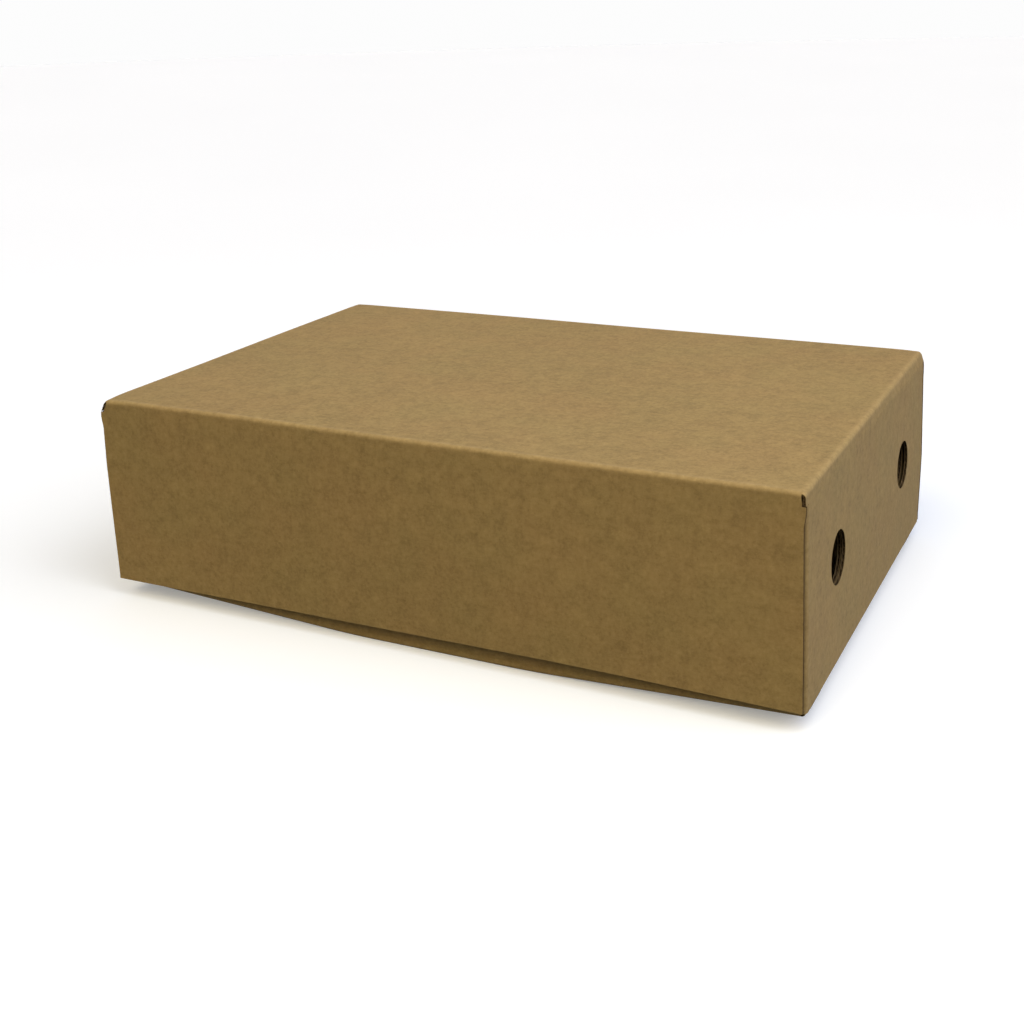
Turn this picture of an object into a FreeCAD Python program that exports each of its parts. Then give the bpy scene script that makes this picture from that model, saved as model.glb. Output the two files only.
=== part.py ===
import FreeCAD, Part
import math
import os

# Two-piece corrugated card box: a full-depth lid over a tray, each folded from one die-cut sheet.
# Millimetres. X along the length, Y along the depth (front at -Y), Z up, the floor at z = 0,
# the origin at the middle of the footprint.

V = FreeCAD.Vector

# ---------------------------------------------------------------- driving dimensions
BOARD = 1.8            # thickness of the corrugated card
LID_LENGTH = 438.6     # outside, at the top creases
LID_DEPTH = 287.0
LID_HEIGHT = 120.0     # wall height, top face to rim
FLARE_END = 4.8        # how far each end wall leans out at the rim
FLARE_SIDE = 2.4       # how far the front and back walls lean out at the rim
RIM_LIFT = 11.5        # the rim's height above the floor
FOLD_R = 2.2           # outside radius of a fold
FOLD_R_IN = 0.5        # inside radius of a fold
BASE_R = (1.0, 0.3)     # outside and inside radius of the folds round the bowed base
SEAM = 0.9             # open gap between a long wall and the glued flap behind it, at the corner
SETBACK = 0.3          # the long wall's cut edge stops this far short of the corner
FLAP = 38.0            # length of the glued corner flaps
CORNER_TOP = 2.3       # the die cut starts this far from the crease
NOTCH = (2.3, 7.0)     # width and height of the relief notch where the die cut starts
ARCH = 1.9             # how far the front rim is bowed up near its middle
HOLE_R = 15.2          # round holes in the end walls
HOLE_Y = 79.8          # their distance each side of the middle
HOLE_DROP = 59.0       # hole centre below the lid's top face

GAP_WALL = 0.6         # tray to lid, all round
GAP_TOP = 0.4          # tray rim to the underside of the lid
TRAY_HOLE_SHIFT = (0.9, -0.6)    # the tray's holes sit slightly off the lid's, in Y and Z
BELLY_FLAT = (-35.0, 50.0)       # the part of the bowed base that is flat on the floor
BELLY_R = 750.0                  # bend from the flat part into the rising ends
BELLY_SLOPE = (0.048, 0.042)     # rise of the left and right ends of the base, mm per mm

# ---------------------------------------------------------------- derived
Z_RIM = RIM_LIFT
Z_TOP = RIM_LIFT + LID_HEIGHT
A0, B0 = LID_LENGTH / 2, LID_DEPTH / 2
T = BOARD
TRAY_TOP = Z_TOP - T - GAP_TOP
CORNERS = [(-1, -1), (1, -1), (1, 1), (-1, 1)]


def lid_a(z):
    return A0 + FLARE_END * (Z_TOP - z) / LID_HEIGHT


def lid_b(z):
    return B0 + FLARE_SIDE * (Z_TOP - z) / LID_HEIGHT


def tray_a(z):
    return lid_a(z) - T - GAP_WALL


def tray_b(z):
    return lid_b(z) - 2 * T - SEAM - GAP_WALL


def polyhedron(points, faces):
    built = []
    for f in faces:
        loop = [points[i] for i in f]
        built.append(Part.Face(Part.makePolygon(loop + loop[:1])))
    solid = Part.makeSolid(Part.makeShell(built))
    if solid.Volume < 0:
        solid.reverse()
    return solid


def frustum(fa, fb, z_low, z_high, inset=0.0):
    """The space between two heights inside leaning walls; fa and fb give the half sizes at a height."""
    p = []
    for z in (z_low, z_high):
        a, b = fa(z) - inset, fb(z) - inset
        p += [V(-a, -b, z), V(a, -b, z), V(a, b, z), V(-a, b, z)]
    return polyhedron(
        p, [(0, 3, 2, 1), (4, 5, 6, 7), (0, 1, 5, 4), (1, 2, 6, 5), (2, 3, 7, 6), (3, 0, 4, 7)]
    )


def edges_at(solid, test):
    return [e for e in solid.Edges if all(test(v.Point) for v in e.Vertexes)]


def corner_prism(fa, fb, sx, sy, outline, z_from, z_to):
    """A prism that follows the leaning corner. The outline is measured outwards from the corner."""

    def at(p):
        return V(sx * (fa(z_from) + p[0]), sy * (fb(z_from) + p[1]), z_from)

    edges = []
    for item in outline:
        if len(item) == 2:
            edges.append(Part.makeLine(at(item[0]), at(item[1])))
        else:
            edges.append(Part.Arc(at(item[0]), at(item[1]), at(item[2])).toShape())
    run = V(sx * (fa(z_to) - fa(z_from)), sy * (fb(z_to) - fb(z_from)), z_to - z_from)
    return Part.Face(Part.Wire(edges)).extrude(run)


def closed(points):
    return [(points[i], points[(i + 1) % len(points)]) for i in range(len(points))]


# The end wall folds round the corner into a flap, which is glued behind the long wall.
FLAP_OUT = -(T + SEAM)
FLAP_IN = FLAP_OUT - T
BEND_Y = FLAP_OUT - FOLD_R
_k = math.sqrt(0.5)
_r = FOLD_R - T
BEND = [
    ((0.0, BEND_Y), (-FOLD_R + FOLD_R * _k, BEND_Y + FOLD_R * _k), (-FOLD_R, FLAP_OUT)),
    ((-FOLD_R, FLAP_OUT), (-FLAP, FLAP_OUT)),
    ((-FLAP, FLAP_OUT), (-FLAP, FLAP_IN)),
    ((-FLAP, FLAP_IN), (-FOLD_R, FLAP_IN)),
    ((-FOLD_R, FLAP_IN), (-FOLD_R + _r * _k, BEND_Y + _r * _k), (-T, BEND_Y)),
    ((-T, BEND_Y), (0.0, BEND_Y)),
]
SLOT = closed(
    [(2.0, 2.0), (2.0, BEND_Y), (-T - 0.4, BEND_Y), (-T - 0.4, -T), (-SETBACK, -T), (-SETBACK, 2.0)]
)
RELIEF = closed([(2.0, 2.0), (2.0, -T - 0.1), (-NOTCH[0], -T - 0.1), (-NOTCH[0], 2.0)])

# ---------------------------------------------------------------- lid
outer = frustum(lid_a, lid_b, Z_RIM, Z_TOP)
outer = outer.makeFillet(FOLD_R, edges_at(outer, lambda p: p.z > Z_TOP - 1e-6))
z_under = Z_TOP - T
inner = frustum(lid_a, lid_b, Z_RIM - 2.0, z_under, T)
inner = inner.makeFillet(FOLD_R_IN, edges_at(inner, lambda p: p.z > z_under - 1e-6))
lid = outer.cut(inner)

z_cut = Z_TOP - CORNER_TOP
for sx, sy in CORNERS:
    lid = lid.cut(corner_prism(lid_a, lid_b, sx, sy, SLOT, z_cut, Z_RIM - 1.0))
    lid = lid.cut(corner_prism(lid_a, lid_b, sx, sy, RELIEF, z_cut, z_cut - NOTCH[1]))
for sx, sy in CORNERS:
    lid = lid.fuse(corner_prism(lid_a, lid_b, sx, sy, BEND, z_cut - 1.0, Z_RIM))

# the front rim is bowed up a little near its middle
arch = Part.Wire(
    [
        Part.Arc(V(-230, -170, Z_RIM), V(60, -170, Z_RIM + ARCH), V(230, -170, Z_RIM + 0.6)).toShape(),
        Part.makeLine(V(230, -170, Z_RIM + 0.6), V(230, -170, Z_RIM - 3)),
        Part.makeLine(V(230, -170, Z_RIM - 3), V(-230, -170, Z_RIM - 3)),
        Part.makeLine(V(-230, -170, Z_RIM - 3), V(-230, -170, Z_RIM)),
    ]
)
lid = lid.cut(Part.Face(arch).extrude(V(0, 170 - B0 + T + 0.2, 0)))

for sy in (-1, 1):
    centre = V(-A0 - 20, sy * HOLE_Y, Z_TOP - HOLE_DROP)
    lid = lid.cut(Part.makeCylinder(HOLE_R, 2 * A0 + 40, centre, V(1, 0, 0)))
lid = lid.removeSplitter()

# ---------------------------------------------------------------- tray


def belly(x_end, side):
    """One rising end of the bowed base: flat, then an arc, then straight up to x_end."""
    x_flat = BELLY_FLAT[0] if side < 0 else BELLY_FLAT[1]
    slope = BELLY_SLOPE[0] if side < 0 else BELLY_SLOPE[1]
    angle = math.atan(slope)
    x_arc = x_flat + side * BELLY_R * math.sin(angle)
    z_arc = BELLY_R * (1 - math.cos(angle))
    mid = (x_flat + side * BELLY_R * math.sin(angle / 2), BELLY_R * (1 - math.cos(angle / 2)))
    z_end = z_arc + slope * abs(x_end - x_arc)
    return (x_flat, 0.0), mid, (x_arc, z_arc), (x_end, z_end)


def above_base(lift, top):
    """Everything above the bowed base, raised by lift."""
    left, right = belly(-260.0, -1), belly(260.0, 1)

    def at(p):
        return V(p[0], -200, p[1] + lift)

    edges = [
        Part.makeLine(at(left[0]), at(right[0])),
        Part.Arc(at(right[0]), at(right[1]), at(right[2])).toShape(),
        Part.makeLine(at(right[2]), at(right[3])),
        Part.makeLine(at(right[3]), V(260, -200, top)),
        Part.makeLine(V(260, -200, top), V(-260, -200, top)),
        Part.makeLine(V(-260, -200, top), at(left[3])),
        Part.makeLine(at(left[3]), at(left[2])),
        Part.Arc(at(left[2]), at(left[1]), at(left[0])).toShape(),
    ]
    return Part.Face(Part.Wire(edges)).extrude(V(0, 400, 0))


def base_folds(solid, inset):
    """The fold edges round the base: the bowed front and back ones and the two straight end ones."""
    found = []
    for e in solid.Edges:
        pts = [v.Point for v in e.Vertexes]
        if len(pts) < 2 or any(p.z > 30 for p in pts):
            continue
        on_side = all(abs(abs(p.y) - (tray_b(p.z) - inset)) < 1e-4 for p in pts) and pts[0].y * pts[1].y > 0
        on_end = all(abs(abs(p.x) - (tray_a(p.z) - inset)) < 1e-4 for p in pts) and pts[0].x * pts[1].x > 0
        if on_side or on_end:
            found.append(e)
    return found


t_out = frustum(tray_a, tray_b, -6.0, TRAY_TOP).common(above_base(0.0, TRAY_TOP + 20))
t_out = t_out.makeFillet(BASE_R[0], base_folds(t_out, 0.0))
t_in = frustum(tray_a, tray_b, -6.0, TRAY_TOP + 2.0, T).common(above_base(T, TRAY_TOP + 20))
t_in = t_in.makeFillet(BASE_R[1], base_folds(t_in, T))
tray = t_out.cut(t_in)

for sx, sy in CORNERS:
    z_end = belly(sx * tray_a(8.0), sx)[3][1]
    z_cut = z_end + CORNER_TOP
    tray = tray.cut(corner_prism(tray_a, tray_b, sx, sy, SLOT, z_cut, TRAY_TOP + 1.0))
    tray = tray.cut(corner_prism(tray_a, tray_b, sx, sy, RELIEF, z_cut, z_cut + NOTCH[1]))
for sx, sy in CORNERS:
    z_end = belly(sx * tray_a(8.0), sx)[3][1]
    z_bend = z_end + CORNER_TOP + 1.0
    tray = tray.fuse(corner_prism(tray_a, tray_b, sx, sy, BEND, z_bend, TRAY_TOP))

for sy in (-1, 1):
    centre = V(-A0 - 10, sy * HOLE_Y + TRAY_HOLE_SHIFT[0], Z_TOP - HOLE_DROP + TRAY_HOLE_SHIFT[1])
    tray = tray.cut(Part.makeCylinder(HOLE_R, 2 * A0 + 20, centre, V(1, 0, 0)))
tray = tray.removeSplitter()

# ---------------------------------------------------------------- write
os.makedirs("parts", exist_ok=True)
for name, shape in (("lid", lid), ("tray", tray)):
    solids = shape.Solids
    assert len(solids) == 1, (name, len(solids))
    solid = solids[0]
    assert solid.isValid() and solid.isClosed(), name
    box = solid.BoundBox
    print(
        name,
        "volume cm3 %.1f" % (solid.Volume / 1000),
        "box [%.2f %.2f %.2f] [%.2f %.2f %.2f]" % (box.XMin, box.YMin, box.ZMin, box.XMax, box.YMax, box.ZMax),
    )
    solid.exportStep("parts/%s.step" % name)
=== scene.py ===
import math

import bpy
import numpy as np
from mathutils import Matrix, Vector


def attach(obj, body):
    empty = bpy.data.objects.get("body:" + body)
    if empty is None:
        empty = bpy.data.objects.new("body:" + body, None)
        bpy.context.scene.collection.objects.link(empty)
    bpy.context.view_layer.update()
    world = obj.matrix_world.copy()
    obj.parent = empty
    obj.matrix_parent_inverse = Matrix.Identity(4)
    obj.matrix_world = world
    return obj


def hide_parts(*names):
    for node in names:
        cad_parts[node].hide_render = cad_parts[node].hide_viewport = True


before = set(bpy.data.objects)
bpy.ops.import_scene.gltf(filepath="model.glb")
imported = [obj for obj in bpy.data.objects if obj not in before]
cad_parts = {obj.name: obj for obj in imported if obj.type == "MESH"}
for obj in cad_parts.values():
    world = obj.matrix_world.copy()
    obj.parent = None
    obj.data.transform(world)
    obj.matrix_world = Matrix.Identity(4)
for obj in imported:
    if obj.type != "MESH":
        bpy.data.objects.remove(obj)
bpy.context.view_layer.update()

# ------------------------------------------------------------------ sizes in mm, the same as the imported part's
T = 1.8                      # board
A0, B0 = 219.3, 143.5        # lid half sizes at the top creases
WALL_H = 120.0
FLARE_END, FLARE_SIDE = 4.8, 2.4
Z_RIM, Z_TOP = 11.5, 131.5
R = 2.2                      # outside fold radius
SEAM, FLAP = 0.9, 38.0
GAP_WALL = 0.6
HOLE_R, HOLE_Y, HOLE_DROP = 15.2, 79.8, 59.0
TRAY_SHIFT = (0.9, -0.6)
FLUTE = 3.5                  # flute pitch
LINER = 0.15                 # liner's share of the board's thickness
MEDIUM = 0.11                # fluting paper's share of the thickness
NOTCH = 5.3                  # the long walls' ends are cut away this far below the crease's foot

rng = np.random.default_rng(7)


def lerp(a, b, t):
    return a + (b - a) * t


def smooth(t):
    t = min(1.0, max(0.0, t))
    return t * t * (3 - 2 * t)


def vec(*a):
    return np.array(a, float)


def unit(v):
    n = np.linalg.norm(v)
    return v / n if n > 1e-12 else v


def spread(lo, hi, step, near=(), fixed=()):
    """Grid lines from lo to hi: at the near distances from both ends, at the fixed values, and every step between."""
    keep = {round(lo, 5), round(hi, 5)}
    for d in near:
        keep.add(round(lo + d, 5))
        keep.add(round(hi - d, 5))
    for f in fixed:
        if lo < f < hi:
            keep.add(round(f, 5))
    marks = sorted(keep)
    out = [marks[0]]
    for m in marks[1:]:
        gap = m - out[-1]
        if gap < 1e-4:
            continue
        n = max(1, int(math.ceil(gap / step - 1e-6)))
        base = out[-1]
        out += [base + gap * k / n for k in range(1, n + 1)]
    return out


# ------------------------------------------------------------------ a folded corrugated sheet
class Card:
    """Outer and inner liner surfaces a board's thickness apart, closed at every cut edge, with the fluting in it."""

    def __init__(self):
        self.key = {}
        self.P, self.Q, self.N, self.flat, self.crease, self.deep = [], [], [], [], [], []
        self.tight = lambda p: False
        self.faces = []

    def point(self, p, n, flat, d):
        k = tuple(int(round(c * 200)) for c in p)
        if k in self.key:
            return self.key[k]
        n = unit(n)
        near = math.exp(-((d / 1.7) ** 2))
        dip = 0.10 * math.exp(-(((d - 2.4) / 1.5) ** 2)) if d > 0 else 0.0
        p_out = p - n * dip
        thick = T * (1 - 0.36 * near)
        self.P.append(p_out)
        self.Q.append(p - n * thick)
        self.N.append(n)
        self.flat.append(flat)
        self.crease.append(math.exp(-((d / 1.3) ** 2)))
        self.deep.append(0.7 if self.tight(p) else 2.6)
        self.key[k] = len(self.P) - 1
        return self.key[k]

    def face(self, ids):
        ring = [i for k, i in enumerate(ids) if i != ids[k - 1]]
        if len(ring) < 3:
            return
        pts = [self.P[i] for i in ring]
        n = np.zeros(3)
        for k in range(len(pts)):
            n += np.cross(pts[k - 1], pts[k])
        out = sum(self.N[i] for i in ring)
        if np.dot(n, out) < 0:
            ring = ring[::-1]
        self.faces.append(tuple(ring))

    def grid(self, fn, us, vs, skip=None):
        ids = [[self.point(*fn(u, v)) for v in vs] for u in us]
        for i in range(len(us) - 1):
            for j in range(len(vs) - 1):
                if skip and skip(0.5 * (us[i] + us[i + 1]), 0.5 * (vs[j] + vs[j + 1])):
                    continue
                self.face((ids[i][j], ids[i + 1][j], ids[i + 1][j + 1], ids[i][j + 1]))

    def ring(self, fn, cu, cv, half, n, radius, rings=4):
        """Fills the square block round a round hole."""
        square = []
        for k in range(n):
            square.append((cu - half + 2 * half * k / n, cv - half))
        for k in range(n):
            square.append((cu + half, cv - half + 2 * half * k / n))
        for k in range(n):
            square.append((cu + half - 2 * half * k / n, cv + half))
        for k in range(n):
            square.append((cu - half, cv + half - 2 * half * k / n))
        rows = []
        m = 4 * n
        for j in range(rings + 1):
            f = (j / rings) ** 1.4
            row = []
            for k in range(m):
                ang = -0.75 * math.pi + 2 * math.pi * k / m
                cx, cy = cu + radius * math.cos(ang), cv + radius * math.sin(ang)
                if j == rings:
                    row.append(self.point(*fn(*square[k])))
                else:
                    row.append(self.point(*fn(lerp(cx, square[k][0], f), lerp(cy, square[k][1], f))))
            rows.append(row)
        for j in range(rings):
            for k in range(m):
                k2 = (k + 1) % m
                self.face((rows[j][k], rows[j][k2], rows[j + 1][k2], rows[j + 1][k]))

    # -------------------------------------------------------------- to a Blender mesh
    def build(self, name, warp, materials):
        P = np.array(self.P)
        Q = np.array(self.Q)
        count = len(P)
        flat = np.array(self.flat)
        owner = {}
        for fi, f in enumerate(self.faces):
            for k in range(len(f)):
                owner.setdefault(frozenset((f[k - 1], f[k])), []).append((fi, f[k - 1], f[k]))
        border = [v[0] for v in owner.values() if len(v) == 1]

        # the direction out of the sheet at each cut edge
        away = np.zeros((count, 3))
        edge_out = {}
        for fi, i, j in border:
            centre = np.mean([P[k] for k in self.faces[fi]], axis=0)
            along = unit(P[j] - P[i])
            e = np.cross(along, unit(self.N[i] + self.N[j]))
            if np.dot(e, (P[i] + P[j]) / 2 - centre) < 0:
                e = -e
            e = unit(e)
            edge_out[(i, j)] = e
            away[i] += e
            away[j] += e
        rim = sorted({k for _, i, j in border for k in (i, j)})
        for k in rim:
            away[k] = unit(away[k])

        verts = [p for p in P] + [q for q in Q]
        uv = [tuple(f) for f in flat] * 2
        crease = list(self.crease) * 2
        faces, mats = [], []
        for f in self.faces:
            faces.append(f)
            mats.append(0)
            faces.append(tuple(i + count for i in reversed(f)))
            mats.append(1)

        def add(p, f, c=0.0):
            verts.append(p)
            uv.append(tuple(f))
            crease.append(c)
            return len(verts) - 1

        # lips of both liners, and the hollow between them; the hollow's near-black material is painted shade of the
        # recess
        deep = self.deep
        a_lip, b_lip, a_deep, b_deep = {}, {}, {}, {}
        for k in rim:
            across = Q[k] - P[k]
            a_lip[k] = add(P[k] + across * LINER, flat[k])
            b_lip[k] = add(Q[k] - across * LINER, flat[k])
            a_deep[k] = add(P[k] + across * LINER - away[k] * deep[k], flat[k])
            b_deep[k] = add(Q[k] - across * LINER - away[k] * deep[k], flat[k])
        for _, i, j in border:
            # i -> j runs along the outer face's own winding
            quads = [
                ((j, i, a_lip[i], a_lip[j]), 2),
                ((a_lip[j], a_lip[i], a_deep[i], a_deep[j]), 3),
                ((a_deep[j], a_deep[i], b_deep[i], b_deep[j]), 3),
                ((b_deep[j], b_deep[i], b_lip[i], b_lip[j]), 3),
                ((b_lip[j], b_lip[i], i + count, j + count), 2),
            ]
            for q, m in quads:
                faces.append(q)
                mats.append(m)

        # the fluting: a thin wavy ribbon just inside every cut edge; its dark material is partly the paper's own tone
        # and partly painted shade of the flute voids
        for fi, i, j in border:
            f = self.faces[fi]
            # how the coordinate across the flutes changes when going into the sheet
            o, s, t = f[0], f[1], f[2]
            e1, e2 = P[s] - P[o], P[t] - P[o]
            m = np.array([[e1 @ e1, e1 @ e2], [e1 @ e2, e2 @ e2]])
            try:
                k = np.linalg.solve(m, np.array([flat[s][0] - flat[o][0], flat[t][0] - flat[o][0]]))
                grad = k[0] * e1 + k[1] * e2
            except np.linalg.LinAlgError:
                grad = np.zeros(3)
            ci, cj = flat[i][0], flat[j][0]
            span = np.linalg.norm(P[j] - P[i])
            n = max(1, int(math.ceil(abs(cj - ci) / (FLUTE / 8))), int(math.ceil(span / 8)))
            into = -float(edge_out[(i, j)] @ grad)
            steps = 1 if abs(into) < 0.15 else 3
            rows = []
            for s_ in range(n + 1):
                w = s_ / n
                p = lerp(P[i], P[j], w)
                q = lerp(Q[i], Q[j], w)
                e = unit(lerp(away[i], away[j], w))
                c = lerp(ci, cj, w)
                fl = lerp(flat[i], flat[j], w)
                row = []
                depth = lerp(deep[i], deep[j], w)
                for d in range(steps + 1):
                    inward = lerp(0.25, depth - 0.05, d / steps)
                    phase = 2 * math.pi * (c + into * inward) / FLUTE
                    wave = 0.5 + 0.5 * math.sin(phase)
                    mid = LINER + MEDIUM / 2 + (1 - 2 * LINER - MEDIUM) * wave
                    base = p - e * inward
                    row.append(
                        (
                            add(base + (q - p) * (mid - MEDIUM / 2), fl),
                            add(base + (q - p) * (mid + MEDIUM / 2), fl),
                        )
                    )
                rows.append(row)
            for s_ in range(n):
                r0, r1 = rows[s_], rows[s_ + 1]
                faces.append((r0[0][0], r1[0][0], r1[0][1], r0[0][1]))
                mats.append(4)
                for d in range(steps):
                    faces.append((r0[d][0], r0[d + 1][0], r1[d + 1][0], r1[d][0]))
                    mats.append(4)
                    faces.append((r0[d][1], r1[d][1], r1[d + 1][1], r0[d + 1][1]))
                    mats.append(4)
                faces.append((r0[steps][0], r0[steps][1], r1[steps][1], r1[steps][0]))
                mats.append(4)

        V = np.array(verts)
        V = np.array([warp(p) for p in V]) * 0.001
        mesh = bpy.data.meshes.new(name)
        mesh.from_pydata(V.tolist(), [], faces)
        mesh.polygons.foreach_set("material_index", np.array(mats, dtype=np.int32))
        for m in materials:
            mesh.materials.append(m)
        layer = mesh.uv_layers.new(name="flat")
        loops = np.zeros(len(mesh.loops), dtype=np.int32)
        mesh.loops.foreach_get("vertex_index", loops)
        uvs = np.array(uv)[loops] * 0.001
        layer.data.foreach_set("uv", uvs.astype(np.float32).ravel())
        at = mesh.attributes.new("crease", "FLOAT", "POINT")
        at.data.foreach_set("value", np.array(crease, dtype=np.float32))
        mesh.polygons.foreach_set("use_smooth", np.ones(len(mesh.polygons), dtype=bool))
        # sharp where two finishes meet
        slot_of = {}
        sharp = np.zeros(len(mesh.edges), dtype=bool)
        lookup = {}
        for poly in mesh.polygons:
            for ek in poly.edge_keys:
                lookup.setdefault(ek, []).append(poly.material_index)
        for e in mesh.edges:
            ms = lookup.get(tuple(sorted(e.vertices)), [])
            if len(ms) != 2 or ms[0] != ms[1]:
                sharp[e.index] = True
        se = mesh.attributes.get("sharp_edge") or mesh.attributes.new("sharp_edge", "BOOLEAN", "EDGE")
        se.data.foreach_set("value", sharp)
        mesh.validate(verbose=False)
        mesh.update()
        ob = bpy.data.objects.new(name, mesh)
        bpy.context.scene.collection.objects.link(ob)
        return ob


# ------------------------------------------------------------------ the folded form shared by lid and tray
NEAR = (0.9, 2.2, 3.8, 6.5, 10.5)
PHI = [math.radians(a) for a in (0, 15, 30, 45, 60, 75, 90)]
TAB = 1.95                   # the end wall's own edge reaches this far past the crease's straight part


def seam(h):
    """The gap between a long wall and the flap behind it: nearly closed just under the crease, open lower down."""
    return lerp(0.35, SEAM, smooth((h - 9.0) / 12.0))


def fold_up(card, sg, plane, half_a, half_b, rim, holes, cut):
    """sg -1: walls go down from a top panel; +1: walls go up from a base. plane(x) gives the panel's outer face and
    its slope, half_a(z) and half_b(z) the wall's outer half sizes, rim(side, x) the rim's height."""
    zc = plane(0.0)[0]
    ax, by = half_a(zc) - R, half_b(zc) - R

    def bend_at(z, h):
        return half_b(z) - T - seam(h) - R

    b_top = bend_at(zc + sg * R, 0.0)
    hole_z = [h[1] for h in holes]
    blocks = [(hy - 22.0, hy + 22.0) for hy, _ in holes]
    ticks_y = [lo + 44.0 * k / 12 for lo, _ in blocks for k in range(13)]
    z_hole = hole_z[0]
    ys = spread(-by, by, 6.5, (0.9, by - b_top, 3.8, 6.5, 10.5), ticks_y)
    xs = spread(-ax, ax, 6.5, NEAR)

    def normal(x):
        s = plane(x)[1]
        return unit(vec(sg * s, 0, -sg))

    def edge_d(x, y):
        return min(ax - abs(x), by - abs(y))

    def panel(x, y):
        return vec(x, y, plane(x)[0]), normal(x), (x, y), edge_d(x, y)

    card.grid(panel, xs, ys)

    def centre(x, y):
        p, n, _, _ = panel(x, y)
        return p - n * R, n

    # creases along the length and their walls
    for sy in (-1, 1):

        def crease(x, phi, sy=sy):
            c, n = centre(x, sy * by)
            m = n * math.cos(phi) + vec(0, sy, 0) * math.sin(phi)
            return c + m * R, m, (x, sy * (by + R * phi)), 0.0

        card.grid(crease, xs, PHI)

        def wall(x, t, sy=sy):
            p0 = crease(x, math.pi / 2)[0]
            zr = rim(sy, x)
            f = (half_a(zr) - R) / ax
            p1 = vec(x * f, sy * half_b(zr), zr)
            p = lerp(p0, p1, t)
            h = abs(p[2] - p0[2])
            return p, vec(0, sy, 0), (x, sy * (by + R * math.pi / 2 + h)), h

        run = abs(rim(sy, 0.0) - zc) - R
        ts = spread(0, run, 6.5, NEAR[:3], (NOTCH, 8.5, 12.0, 16.0))
        ts = [t / run for t in ts]
        card.grid(wall, xs, ts)
        for sx in (-1, 1):

            def side(e, t, sx=sx, sy=sy):
                # from the grid's last column out to the cut edge at the corner
                p, n, fl, h = wall(sx * ax, t)
                z = p[2]
                width = max(0.3, half_a(z) - cut(h, sy) - (abs(p[0])))
                q = p + vec(sx * width * e, 0, 0)
                return q, n, (sx * (ax + width * e), fl[1]), h

            low = [t for t in ts if t >= NOTCH / run - 1e-6]
            card.grid(side, [0.0, 0.5, 1.0], low)

    # end creases, end walls, the fold round each corner and the glued flaps
    ys_long = [-by - TAB, -by - 1.0] + ys + [by + 1.0, by + TAB]
    for sx in (-1, 1):

        def drop(y):
            s = max(0.0, abs(y) - by)
            return 0.7 * (R - math.sqrt(max(0.0, R * R - s * s)))

        def crease(phi, y, sx=sx):
            c, n = centre(sx * ax, y)
            m = n * math.cos(phi) + vec(sx, 0, 0) * math.sin(phi)
            return c + m * R + vec(0, 0, sg * drop(y)), m, (sx * (ax + R * phi), y), 0.0

        card.grid(crease, PHI, ys_long)
        z0 = crease(math.pi / 2, 0.0)[0][2]
        x0 = abs(crease(math.pi / 2, 0.0)[0][0])
        z1 = rim(0, sx)

        def wall(y, z, sx=sx, z0=z0, z1=z1, x0=x0):
            t = (z - z0) / (z1 - z0)
            h = abs(z - z0)
            ya = abs(y)
            if ya > 104.0:
                ya = 104.0 + (ya - 104.0) * (bend_at(z, h) - 104.0) / (b_top - 104.0)
            zz = z + sg * drop(y) * (1 - h / 5.0) if abs(y) > by else z
            p = vec(sx * lerp(x0, half_a(z1), t), math.copysign(ya, y), zz)
            return p, vec(sx, 0, 0), (sx * (ax + R * math.pi / 2 + h), math.copysign(ya, y)), h

        b_start = bend_at(z0, 0.0)
        tab_foot = z0 + sg * 5.0
        start = z0 + sg * 5.4
        fixed = [z_hole - 22 + 44.0 * k / 12 for k in range(13)] + [tab_foot, start, z0 + sg * 9.0, z0 + sg * 14.0]
        zs = spread(min(z0, z1), max(z0, z1), 6.5, (), fixed + [z0 + sg * d for d in NEAR[:3]])
        ends = [y for y in ys if abs(y) <= b_top + 1e-3]

        def in_hole(y, z):
            return any(lo < y < hi for lo, hi in blocks) and abs(z - z_hole) < 22

        card.grid(wall, ends, zs, in_hole)
        for hy, hz in holes:
            card.ring(wall, hy, hz, 22.0, 12, HOLE_R)
        # above the flaps the end wall runs on to the corner and ends in a cut edge
        beyond = [y for y in ys_long if y >= b_top - 1e-3]
        upper = [z for z in zs if sg * (z - tab_foot) <= 1e-6]
        card.grid(wall, beyond, upper)
        card.grid(wall, [-y for y in beyond], upper)
        rows = [z for z in zs if sg * (z - start) >= -1e-6]
        far = max(rows, key=lambda z: abs(z - z0))
        near = min(rows, key=lambda z: abs(z - z0))
        for sy in (-1, 1):
            edge_y = sy * max(ends)

            def bend(theta, z, sx=sx, sy=sy, edge_y=edge_y):
                p, _, fl, h = wall(edge_y, z)
                c = p - vec(sx * R, 0, 0)
                m = vec(sx * math.cos(theta), sy * math.sin(theta), 0)
                return c + m * R, m, (fl[0], sy * (abs(fl[1]) + R * theta)), 3.0

            card.grid(bend, PHI, rows)

            def flap(s, z, sx=sx, sy=sy, edge_y=edge_y):
                p, _, fl, h = wall(edge_y, z)
                c = p - vec(sx * R, 0, 0)
                ease = smooth(s / 14.0)
                base = c + vec(-sx * s, sy * (R + (seam(h) - 0.16) * ease), 0)
                # the flap tapers towards its free end
                mid = (far + near) / 2
                k = 1 - 2 * min(5.0, 0.16 * s) / abs(far - near)
                base[2] = mid + (z - mid) * k
                return base, vec(0, sy, 0), (fl[0], sy * (abs(fl[1]) + R * math.pi / 2 + s)), 3.0 + s

            card.grid(flap, [0.0, 0.9, 2.2, 4.0, 7.0, 11.0, 17.0, 24.0, 31.0, FLAP - R], rows)


# ------------------------------------------------------------------ lid
def lid_a(z):
    return A0 + FLARE_END * (Z_TOP - z) / WALL_H


def lid_b(z):
    return B0 + FLARE_SIDE * (Z_TOP - z) / WALL_H


RIM_X = [-230, -200, -120, -13, 82, 126, 168, 216, 230]
RIM_DZ = [0.2, 0.4, 1.1, 1.8, 2.6, 2.5, 1.9, 1.2, 1.0]


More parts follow.
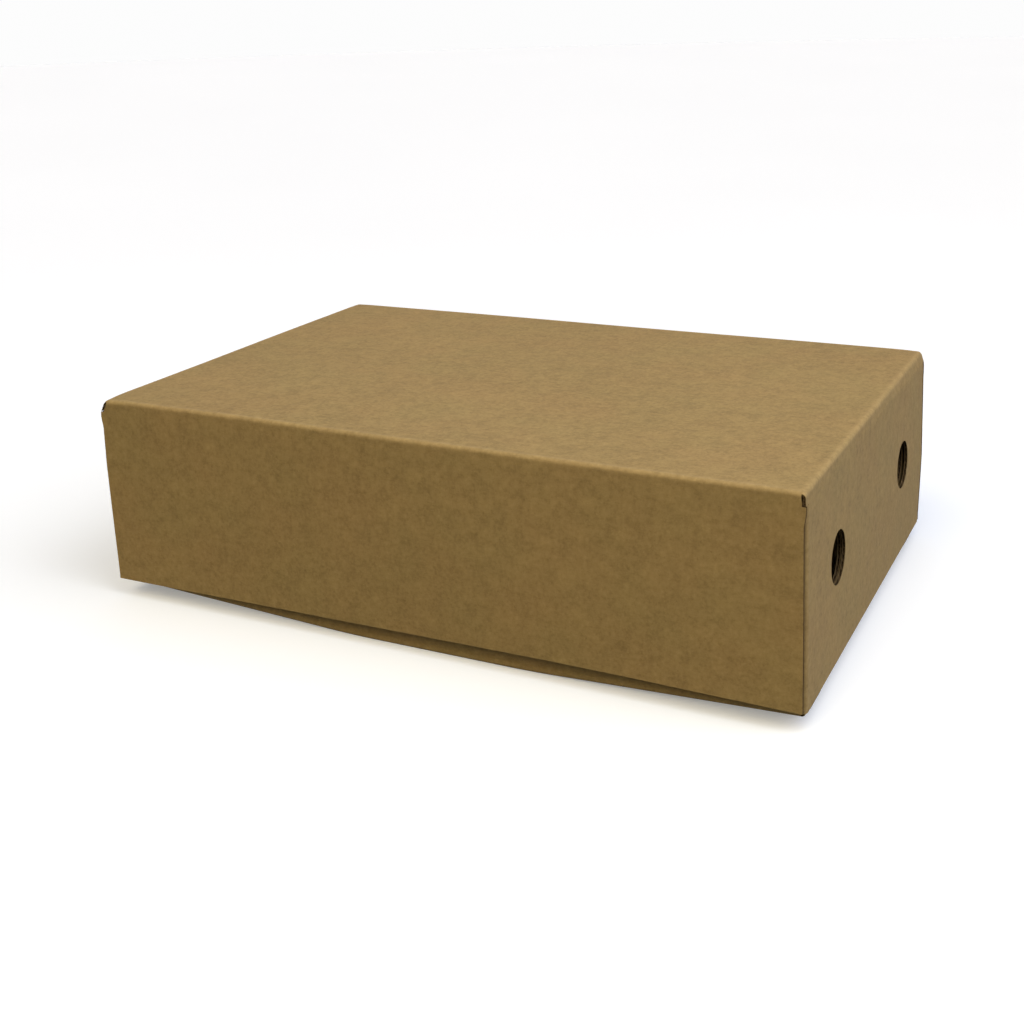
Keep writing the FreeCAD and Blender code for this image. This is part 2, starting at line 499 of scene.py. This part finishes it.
def lid_rim(side, x):
    if side == -1:
        return Z_RIM + float(np.interp(x, RIM_X, RIM_DZ))
    return Z_RIM


def lid_cut(h, sy):
    # the long wall's cut edge, measured in from the corner: the front wall stops shorter than the back one
    return lerp(0.15, 1.35 if sy < 0 else 0.35, smooth((h - 9.0) / 7.0))


def lid_warp(p):
    x, y, z = p
    h = (Z_TOP - z) / WALL_H                       # 0 at the top, 1 at the rim
    u, v = x / A0, y / B0
    top = math.exp(-((h / 0.28) ** 2))
    front = smooth((-v + 0.35) / 1.1)
    bow = 0.78 * math.exp(-(((x + 118) / 78) ** 2)) * front
    sag = -0.8 * max(0.0, 1 - u * u) * max(0.0, 1 - v * v)
    ripple = 0.12 * math.sin(x / 41.0 + 0.7) * math.sin(y / 33.0 + 0.4)
    dz = (-0.82 + bow + (sag + ripple) * (1 - smooth((h - 0.01) / 0.05))) * top
    # slightly crushed corners
    for cx, cy, r, depth in ((-A0, -B0, 9, 0.7), (A0, B0, 9, 0.4), (A0, -B0, 7, 0.3), (-A0, B0, 8, 0.3)):
        d2 = ((x - cx) ** 2 + (y - cy) ** 2 + (z - Z_TOP) ** 2) / (r * r)
        dz -= depth * math.exp(-d2)
        x -= math.copysign(0.25 * depth * math.exp(-d2), cx)
    belly = math.sin(math.pi * min(1, max(0, h)))
    room = max(0.0, 223.95 - (A0 + FLARE_END * h))
    rise = smooth(h / 0.075)
    if x < 0:
        # the left end wall stands out, most of all near the front
        dx = u * min(2.9 * rise, room) * lerp(1.0, 0.35, smooth((v + 1) / 1.6))
    else:
        dx = u * min(1.7 * rise, room) * (0.15 + 0.85 * smooth((v + 0.6) / 1.6))
    dy = v * belly * (0.75 if y < 0 else 0.55) * (1 - 0.8 * u * u)
    dy -= v * 0.2 * (1 + math.sin(x / 57.0 + 1.3)) * smooth(h * 2)
    return ((x + dx) * 0.9998, y + dy, z + dz)


lid_card = Card()
lid_card.tight = lambda p: abs(p[0]) > A0 - 4 and abs(p[1]) > B0 - 7 and p[2] > Z_TOP - 8.6
fold_up(
    lid_card, -1, lambda x: (Z_TOP, 0.0), lid_a, lid_b, lid_rim,
    [(-HOLE_Y, Z_TOP - HOLE_DROP), (HOLE_Y, Z_TOP - HOLE_DROP)], lid_cut,
)


# ------------------------------------------------------------------ tray
def tray_a(z):
    return lid_a(z) - T - GAP_WALL


def tray_b(z):
    return lid_b(z) - 2 * T - SEAM - GAP_WALL


TRAY_RIM = 127.4
FLAT = (-35.0, 50.0)
BELLY_R = 750.0
SLOPE = (0.048, 0.042)


def base_plane(x):
    side = 0 if x < 0.5 * (FLAT[0] + FLAT[1]) else 1
    d = (FLAT[0] - x) if side == 0 else (x - FLAT[1])
    if d <= 0:
        return 0.0, 0.0
    s = SLOPE[side]
    ang = math.atan(s)
    d_arc = BELLY_R * math.sin(ang)
    sign = -1 if side == 0 else 1
    if d < d_arc:
        z = BELLY_R - math.sqrt(BELLY_R ** 2 - d * d)
        return z, sign * d / math.sqrt(BELLY_R ** 2 - d * d)
    return BELLY_R * (1 - math.cos(ang)) + s * (d - d_arc), sign * s


def tray_rim(side, x):
    if side == 0:
        return TRAY_RIM
    return TRAY_RIM + 0.25 * math.sin(x / 60.0 + side)


def tray_warp(p):
    x, y, z = p
    h = min(1.0, max(0.0, z / 127.0))
    u, v = x / 221.0, y / 141.0
    wave = smooth(h * 1.2)
    dy = -v * 0.35 * wave * (1 - u * u) * (1 + 0.4 * math.sin(x / 45.0))
    dx = -u * 0.25 * wave * (1 - v * v)
    # the base's long folds are pressed in a little
    tuck = (1 - smooth(z / 34.0)) * smooth((abs(v) - 0.80) / 0.20)
    dy -= math.copysign(2.8 * tuck, v)
    return (x + dx, y + dy, z)


tray_card = Card()
tray_card.tight = lambda p: abs(p[0]) > A0 - 6 and abs(p[1]) > B0 - 12 and p[2] < 18
fold_up(
    tray_card, 1, base_plane, tray_a, tray_b, tray_rim,
    [(-HOLE_Y + TRAY_SHIFT[0], Z_TOP - HOLE_DROP + TRAY_SHIFT[1]), (HOLE_Y + TRAY_SHIFT[0], Z_TOP - HOLE_DROP + TRAY_SHIFT[1])],
    lambda h, sy: 0.5,
)


# ------------------------------------------------------------------ materials
class Tree:
    def __init__(self, name):
        self.mat = bpy.data.materials.new(name)
        self.mat.use_nodes = True
        self.nt = self.mat.node_tree
        self.nt.nodes.clear()
        self.out = self.nt.nodes.new("ShaderNodeOutputMaterial")
        self.bsdf = self.nt.nodes.new("ShaderNodeBsdfPrincipled")
        self.nt.links.new(self.bsdf.outputs[0], self.out.inputs[0])

    def node(self, kind, **props):
        n = self.nt.nodes.new(kind)
        for k, v in props.items():
            setattr(n, k, v)
        return n

    def link(self, a, b):
        self.nt.links.new(a, b)

    def put(self, socket, value):
        if hasattr(value, "node"):
            self.link(value, socket)
        else:
            socket.default_value = value

    def math(self, op, a, b=0.0, c=0.0, clamp=False):
        n = self.node("ShaderNodeMath", operation=op, use_clamp=clamp)
        self.put(n.inputs[0], a)
        self.put(n.inputs[1], b)
        self.put(n.inputs[2], c)
        return n.outputs[0]

    def mix(self, fac, a, b, mode="MIX"):
        n = self.node("ShaderNodeMix", data_type="RGBA", blend_type=mode)
        n.clamp_factor = True
        self.put(n.inputs[0], fac)
        self.put(n.inputs[6], a)
        self.put(n.inputs[7], b)
        return n.outputs[2]

    def noise(self, vector, scale, detail=2.0, rough=0.5, stretch=None, shift=(0, 0, 0)):
        if stretch or any(shift):
            m = self.node("ShaderNodeMapping")
            self.link(vector, m.inputs[0])
            m.inputs[1].default_value = shift
            m.inputs[3].default_value = stretch or (1, 1, 1)
            vector = m.outputs[0]
        n = self.node("ShaderNodeTexNoise")
        self.link(vector, n.inputs["Vector"])
        n.inputs["Scale"].default_value = scale
        n.inputs["Detail"].default_value = detail
        n.inputs["Roughness"].default_value = rough
        return n.outputs[0]

    def ramp(self, fac, lo, hi, a=0.0, b=1.0):
        n = self.node("ShaderNodeMapRange")
        self.put(n.inputs[0], fac)
        n.inputs[1].default_value = lo
        n.inputs[2].default_value = hi
        n.inputs[3].default_value = a
        n.inputs[4].default_value = b
        return n.outputs[0]


def rgb(r, g, b):
    return (r, g, b, 1.0)


def kraft(name, dark, light, shift, wear_and_highlight=1.0, flute=1.0):
    """Brown kraft liner: mottled pulp, fine fibres lying across the flutes, flutes just showing, pale folds that are
    partly wear and partly a painted highlight.
    """
    t = Tree(name)
    geo = t.node("ShaderNodeTexCoord").outputs["Object"]
    uvn = t.node("ShaderNodeUVMap", uv_map="flat").outputs[0]
    crease = t.node("ShaderNodeAttribute", attribute_name="crease").outputs["Fac"]
    cloud = t.noise(geo, 7.0, 3.0, 0.55, shift=shift)
    mottle = t.noise(geo, 95.0, 4.0, 0.62, shift=shift)
    grain = t.noise(geo, 1150.0, 2.0, 0.6, shift=shift)
    fibre = t.noise(uvn, 1.0, 3.0, 0.65, stretch=(170.0, 2300.0, 1.0), shift=shift)
    fibre2 = t.noise(uvn, 1.0, 2.0, 0.6, stretch=(1500.0, 260.0, 1.0), shift=(shift[1], shift[0], 0))
    pulp = t.noise(geo, 420.0, 3.0, 0.6, shift=(shift[1] + 5, shift[2], shift[0]))
    floc = t.noise(geo, 210.0, 2.0, 0.55, shift=(shift[0] + 2, shift[1] + 6, shift[2]))
    tone = t.math("MULTIPLY", t.ramp(cloud, 0.3, 0.7), 0.08)
    tone = t.math("MULTIPLY_ADD", t.ramp(mottle, 0.3, 0.7), 0.20, tone)
    tone = t.math("MULTIPLY_ADD", t.ramp(floc, 0.3, 0.7), 0.20, tone)
    tone = t.math("MULTIPLY_ADD", t.ramp(pulp, 0.3, 0.7), 0.26, tone)
    tone = t.math("MULTIPLY_ADD", t.ramp(grain, 0.25, 0.75), 0.11, tone)
    tone = t.math("MULTIPLY_ADD", t.ramp(fibre, 0.25, 0.75), 0.11, tone)
    tone = t.math("MULTIPLY_ADD", t.ramp(fibre2, 0.25, 0.75), 0.04, tone)
    colour = t.mix(tone, rgb(*dark), rgb(*light))
    hue = t.ramp(t.noise(geo, 24.0, 2.0, 0.5, shift=(shift[2] + 9, shift[1], shift[0])), 0.32, 0.68)
    colour = t.mix(1.0, colour, t.mix(hue, rgb(1.016, 0.994, 0.99), rgb(0.984, 1.006, 0.99)), "MULTIPLY")
    # sparse dark and pale specks in the pulp
    speck = t.noise(geo, 800.0, 1.0, 0.4, shift=(shift[2] + 3.1, shift[0], shift[1]))
    dark_speck = t.math("MULTIPLY", t.ramp(speck, 0.66, 0.76), 0.16, clamp=True)
    pale_speck = t.math("MULTIPLY", t.ramp(speck, 0.33, 0.25), 0.14, clamp=True)
    colour = t.mix(dark_speck, colour, rgb(dark[0] * 0.55, dark[1] * 0.50, dark[2] * 0.45))
    colour = t.mix(pale_speck, colour, rgb(light[0] * 1.25, light[1] * 1.27, light[2] * 1.35))
    # the flutes just show through the liner
    sep = t.node("ShaderNodeSeparateXYZ")
    t.link(uvn, sep.inputs[0])
    wave = t.math("SINE", t.math("MULTIPLY", sep.outputs[0], 2 * math.pi / (FLUTE * 0.001)))
    patch = t.ramp(t.noise(geo, 14.0, 2.0, 0.5, shift=(shift[1] + 7, shift[2], shift[0])), 0.35, 0.7)
    show = t.math("MULTIPLY", wave, t.math("MULTIPLY_ADD", patch, 0.6, 0.4))
    shade = t.math("MULTIPLY_ADD", show, 0.012 * flute, 0.012 * flute, clamp=True)
    colour = t.mix(shade, colour, rgb(dark[0] * 0.6, dark[1] * 0.6, dark[2] * 0.6))
    # paler folds: partly worn liner, partly a painted highlight along the fold's round
    fold_breakup = t.ramp(t.noise(geo, 260.0, 4.0, 0.7, shift=(shift[0] + 11, shift[1], shift[2])), 0.35, 0.72)
    fold_wear_and_highlight = t.math("MULTIPLY", crease, t.math("MULTIPLY_ADD", fold_breakup, 0.26 * wear_and_highlight, 0.05 * wear_and_highlight), clamp=True)
    # lightens the fold band: wear plus a painted highlight
    colour = t.mix(fold_wear_and_highlight, colour, rgb(light[0] * 1.30, light[1] * 1.33, light[2] * 1.48))
    t.link(colour, t.bsdf.inputs["Base Color"])
    rough = t.math("MULTIPLY_ADD", t.ramp(mottle, 0.3, 0.7), 0.08, 0.80)
    rough = t.math("MULTIPLY_ADD", fold_wear_and_highlight, 0.10, rough)
    t.link(rough, t.bsdf.inputs["Roughness"])
    t.bsdf.inputs["Specular IOR Level"].default_value = 0.28
    height = t.math("MULTIPLY", grain, 0.30)
    height = t.math("MULTIPLY_ADD", fibre, 0.42, height)
    height = t.math("MULTIPLY_ADD", fibre2, 0.18, height)
    height = t.math("MULTIPLY_ADD", mottle, 0.35, height)
    height = t.math("MULTIPLY_ADD", show, 0.16 * flute, height)
    height = t.math("MULTIPLY_ADD", t.math("MULTIPLY", crease, fold_breakup), 0.5, height)
    bump = t.node("ShaderNodeBump")
    bump.inputs["Strength"].default_value = 0.55
    bump.inputs["Distance"].default_value = 0.00016
    t.link(height, bump.inputs["Height"])
    t.link(bump.outputs[0], t.bsdf.inputs["Normal"])
    return t.mat


def torn(name, dark, light, shift):
    """A cut edge of liner or the rougher fluting paper: matt, fuzzy, a little grey. The dark colours given to the cut
    edges, the fluting and the hollow between the liners are partly painted shade of these narrow recesses.
    """
    t = Tree(name)
    geo = t.node("ShaderNodeTexCoord").outputs["Object"]
    a = t.noise(geo, 1400.0, 3.0, 0.7, shift=shift)
    b = t.noise(geo, 180.0, 3.0, 0.6, shift=shift)
    tone = t.math("MULTIPLY_ADD", t.ramp(a, 0.25, 0.75), 0.6, t.math("MULTIPLY", t.ramp(b, 0.3, 0.7), 0.4))
    t.link(t.mix(tone, rgb(*dark), rgb(*light)), t.bsdf.inputs["Base Color"])
    t.link(t.math("MULTIPLY_ADD", tone, 0.06, 0.90), t.bsdf.inputs["Roughness"])
    t.bsdf.inputs["Specular IOR Level"].default_value = 0.15
    bump = t.node("ShaderNodeBump")
    bump.inputs["Strength"].default_value = 0.8
    bump.inputs["Distance"].default_value = 0.00015
    t.link(a, bump.inputs["Height"])
    t.link(bump.outputs[0], t.bsdf.inputs["Normal"])
    return t.mat


LIGHT = (0.430, 0.302, 0.118)
DARK = (0.180, 0.121, 0.043)
lid_mats = [
    kraft("lid_outer_liner", DARK, LIGHT, (0.31, 1.7, 0.6)),
    kraft("lid_inner_liner", (0.190, 0.128, 0.048), (0.420, 0.296, 0.124), (4.1, 0.3, 2.2), 0.6, 1.5),
    # cut edge: the raw edge's own darker tone, deepened with painted shade of the narrow gaps at the edges
    torn("lid_cut_edge_tone_and_painted_shade", (0.15, 0.098, 0.040), (0.27, 0.188, 0.088), (1.0, 2.0, 3.0)),
    # near-black hollow between the liners: painted shade of the recess
    torn("lid_hollow_painted_shade", (0.055, 0.034, 0.014), (0.10, 0.066, 0.028), (2.0, 2.5, 3.0)),
    # fluting: its own greyer brown, darkened further as painted shade of the voids between the liners
    torn("lid_fluting_tone_and_painted_shade", (0.085, 0.055, 0.022), (0.16, 0.108, 0.048), (5.0, 2.5, 1.0)),
]
tray_mats = [
    kraft("tray_outer_liner", DARK, LIGHT, (7.3, 0.9, 3.6)),
    kraft("tray_inner_liner", (0.190, 0.128, 0.048), (0.420, 0.296, 0.124), (2.6, 5.3, 0.8), 0.6, 1.5),
    # cut edge: the raw edge's own darker tone, deepened with painted shade of the narrow gaps at the edges
    torn("tray_cut_edge_tone_and_painted_shade", (0.15, 0.098, 0.040), (0.27, 0.188, 0.088), (3.0, 1.0, 3.0)),
    # near-black hollow between the liners: painted shade of the recess
    torn("tray_hollow_painted_shade", (0.055, 0.034, 0.014), (0.10, 0.066, 0.028), (6.0, 2.5, 3.0)),
    # fluting: its own greyer brown, darkened further as painted shade of the voids between the liners
    torn("tray_fluting_tone_and_painted_shade", (0.085, 0.055, 0.022), (0.16, 0.108, 0.048), (8.0, 2.5, 1.0)),
]

lid = lid_card.build("lid_card", lid_warp, lid_mats)
tray = tray_card.build("tray_card", tray_warp, tray_mats)
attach(lid, "lid")
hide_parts("lid")
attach(tray, "tray")
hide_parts("tray")


# ------------------------------------------------------------------ floor and soft backdrop
def ground():
    verts = [(0.0, 0.0, 0.0)]
    faces = []
    rings = [0.6, 1.5, 4.0, 9.0]
    m = 64
    for r in rings:
        verts += [(r * math.cos(2 * math.pi * k / m), r * math.sin(2 * math.pi * k / m), 0.0) for k in range(m)]
    for k in range(m):
        faces.append((0, 1 + k, 1 + (k + 1) % m))
        for j in range(len(rings) - 1):
            i0, i1 = 1 + j * m, 1 + (j + 1) * m
            faces.append((i0 + k, i1 + k, i1 + (k + 1) % m, i0 + (k + 1) % m))
    mesh = bpy.data.meshes.new("ground")
    mesh.from_pydata(verts, [], faces)
    t = Tree("pale_floor")
    geo = t.node("ShaderNodeTexCoord").outputs["Object"]
    n = t.noise(geo, 1.3, 2.0, 0.5)
    t.link(t.mix(t.ramp(n, 0.3, 0.7), rgb(*FLOOR_A), rgb(*FLOOR_B)), t.bsdf.inputs["Base Color"])
    t.bsdf.inputs["Roughness"].default_value = 0.9
    t.bsdf.inputs["Specular IOR Level"].default_value = 0.1
    # a light table: the ground shines a little itself
    t.bsdf.inputs["Emission Color"].default_value = (1.0, 1.0, 1.0, 1.0)
    t.bsdf.inputs["Emission Strength"].default_value = 0.26
    mesh.materials.append(t.mat)
    ob = bpy.data.objects.new("ground", mesh)
    bpy.context.scene.collection.objects.link(ob)
    # the ground's own bounce is left out, so that the shade under the lid's rim stays deep
    ob.visible_diffuse = False
    ob.visible_shadow = False


def surround():
    """A plain white screen all round, far off."""
    m, r = 64, 9.0
    verts, faces = [], []
    for z in (-0.001, 8.0):
        verts += [(r * math.cos(2 * math.pi * k / m), r * math.sin(2 * math.pi * k / m), z) for k in range(m)]
    for k in range(m):
        faces.append((k, (k + 1) % m, m + (k + 1) % m, m + k))
    mesh = bpy.data.meshes.new("surround")
    mesh.from_pydata(verts, [], faces)
    mat = bpy.data.materials.new("white_screen")
    mat.use_nodes = True
    nt = mat.node_tree
    nt.nodes.clear()
    out = nt.nodes.new("ShaderNodeOutputMaterial")
    em = nt.nodes.new("ShaderNodeEmission")
    em.inputs[0].default_value = (1.0, 1.0, 1.0, 1.0)
    em.inputs[1].default_value = 0.98
    nt.links.new(em.outputs[0], out.inputs[0])
    mesh.materials.append(mat)
    ob = bpy.data.objects.new("surround", mesh)
    bpy.context.scene.collection.objects.link(ob)
    ob.visible_diffuse = False
    ob.visible_glossy = False
    ob.visible_shadow = False


FLOOR_A = (0.785, 0.825, 0.833)
FLOOR_B = (0.805, 0.845, 0.853)
ground()
surround()


# ------------------------------------------------------------------ light
def softbox(name, at, to, size, power, colour=(1, 1, 1)):
    data = bpy.data.lights.new(name, "AREA")
    data.shape = "RECTANGLE"
    data.size, data.size_y = size
    data.energy = power
    data.color = colour
    ob = bpy.data.objects.new(name, data)
    ob.location = at
    ob.rotation_mode = "QUATERNION"
    ob.rotation_quaternion = (Vector(to) - Vector(at)).to_track_quat("-Z", "Y")
    bpy.context.scene.collection.objects.link(ob)
    ob.visible_camera = False
    return ob


softbox("key", (0.46, -0.32, 0.98), (0.20, -0.08, 0.13), (0.55, 0.55), 3.0)


def studio():
    """Soft light from all round: strongest from the front above, from the right and overhead, weak from below."""
    world = bpy.data.worlds.new("studio")
    bpy.context.scene.world = world
    world.use_nodes = True
    nt = world.node_tree
    nt.nodes.clear()
    out = nt.nodes.new("ShaderNodeOutputWorld")
    bg = nt.nodes.new("ShaderNodeBackground")
    coord = nt.nodes.new("ShaderNodeTexCoord")
    nt.links.new(bg.outputs[0], out.inputs[0])
    ray = coord.outputs["Generated"]

    def power(direction, k):
        dot = nt.nodes.new("ShaderNodeVectorMath")
        dot.operation = "DOT_PRODUCT"
        nt.links.new(ray, dot.inputs[0])
        dot.inputs[1].default_value = direction
        top = nt.nodes.new("ShaderNodeMath")
        top.operation = "MAXIMUM"
        nt.links.new(dot.outputs["Value"], top.inputs[0])
        top.inputs[1].default_value = 0.0
        p = nt.nodes.new("ShaderNodeMath")
        p.operation = "POWER"
        nt.links.new(top.outputs[0], p.inputs[0])
        p.inputs[1].default_value = k
        return p.outputs[0]

    def towards(azimuth, elevation):
        a, e = math.radians(azimuth), math.radians(elevation)
        return (math.sin(a) * math.cos(e), -math.cos(a) * math.cos(e), math.sin(e))

    total = None
    for direction, k, colour in LOBES:
        d = (0, 0, 1) if direction == "up" else (0, 0, -1) if direction == "down" else towards(*direction)
        fac = power(d, k)
        n = nt.nodes.new("ShaderNodeVectorMath")
        n.operation = "MULTIPLY_ADD"
        nt.links.new(fac, n.inputs[0])
        n.inputs[1].default_value = colour
        if total is None:
            n.inputs[2].default_value = (0.08, 0.08, 0.08)
        else:
            nt.links.new(total, n.inputs[2])
        total = n.outputs[0]
    nt.links.new(total, bg.inputs[0])
    bg.inputs[1].default_value = 1.0


# azimuth 0 is the front and 90 the right
LOBES = [
    ((-14, 48), 16, (5.6, 4.55, 2.7)),
    ((98, 34), 9, (3.25, 3.15, 3.45)),
    # a weak, low light from behind, so that the back and the left end don't sink into shade
    ((205, 18), 6, (0.55, 0.55, 0.60)),
    ("up", 2, (0.0, 0.08, 0.30)),
]
studio()

# ------------------------------------------------------------------ camera, at the photograph's angle
YAW, PITCH, ROLL = 0.4623083, 0.3305098, -0.0289903
FOCAL_PX, CX, CY = 1352.02, 531.2, 456.57
SHIFT_MM = (0.16435, -60.4129, 897.904)


def camera():
    fwd = Vector((-math.sin(YAW) * math.cos(PITCH), math.cos(YAW) * math.cos(PITCH), -math.sin(PITCH)))
    right = Vector((math.cos(YAW), math.sin(YAW), 0.0))
    up = right.cross(fwd)
    r2 = math.cos(ROLL) * right + math.sin(ROLL) * up
    u2 = -math.sin(ROLL) * right + math.cos(ROLL) * up
    where = -(r2 * SHIFT_MM[0] + u2 * SHIFT_MM[1] + fwd * SHIFT_MM[2]) * 0.001
    where.z += Z_RIM * 0.001
    data = bpy.data.cameras.new("camera")
    data.sensor_fit = "HORIZONTAL"
    data.sensor_width = 36.0
    data.lens = FOCAL_PX / 1024 * 36.0
    data.shift_x = (512 - CX) / 1024
    data.shift_y = (CY - 512) / 1024
    data.clip_start, data.clip_end = 0.01, 50.0
    ob = bpy.data.objects.new("camera", data)
    ob.rotation_mode = "QUATERNION"
    from mathutils import Matrix

    m = Matrix((r2, u2, -fwd)).transposed()
    ob.rotation_quaternion = m.to_quaternion()
    ob.location = where
    bpy.context.scene.collection.objects.link(ob)
    bpy.context.scene.camera = ob
    return ob


camera()
bpy.context.scene.view_settings.view_transform = "Standard"
bpy.context.scene.view_settings.look = "None"
bpy.context.scene.view_settings.exposure = 0.0

for ob in (lid, tray):
    tris = sum(len(p.vertices) - 2 for p in ob.data.polygons)
    print("piece", ob.name, "triangles", tris)
